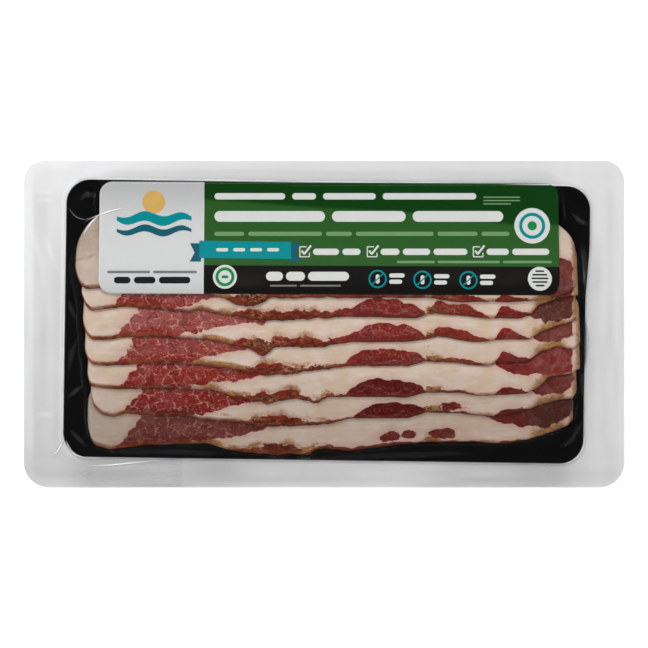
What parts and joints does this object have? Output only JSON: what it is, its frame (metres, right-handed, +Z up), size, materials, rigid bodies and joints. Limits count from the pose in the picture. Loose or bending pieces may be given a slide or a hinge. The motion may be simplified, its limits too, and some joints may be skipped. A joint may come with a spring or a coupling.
{
  "type": "vacuum-packed sliced bacon",
  "caption": "Flat clear pouch holding shingled smoked bacon slices on a black board under a printed front label, sealed all round with a wide border",
  "frame": {"origin": "bottom centre of the pack's bounding box, on the flat back the pack lies on", "axes": "+X along the pack towards the right end seen from the front, +Y across it towards the edge where the label is, +Z up out of the front"},
  "size_m": [0.2892, 0.1572, 0.0178],
  "materials": {
    "film": "clear glossy film, hazy where sealed",
    "board": "black gloss-coated board",
    "bacon": "moist cured meat, creamy fat with marbled red lean and browned edges",
    "label": "smooth printed paper in green, white and black"
  },
  "bodies": {
    "root": {"film_pouch": "film", "board": "board", "bacon_slice_1": "bacon", "bacon_slice_2": "bacon", "bacon_slice_3": "bacon", "bacon_slice_4": "bacon", "bacon_slice_5": "bacon", "bacon_slice_6": "bacon", "bacon_slice_7": "bacon", "label": "label"}
  },
  "joints": []
}
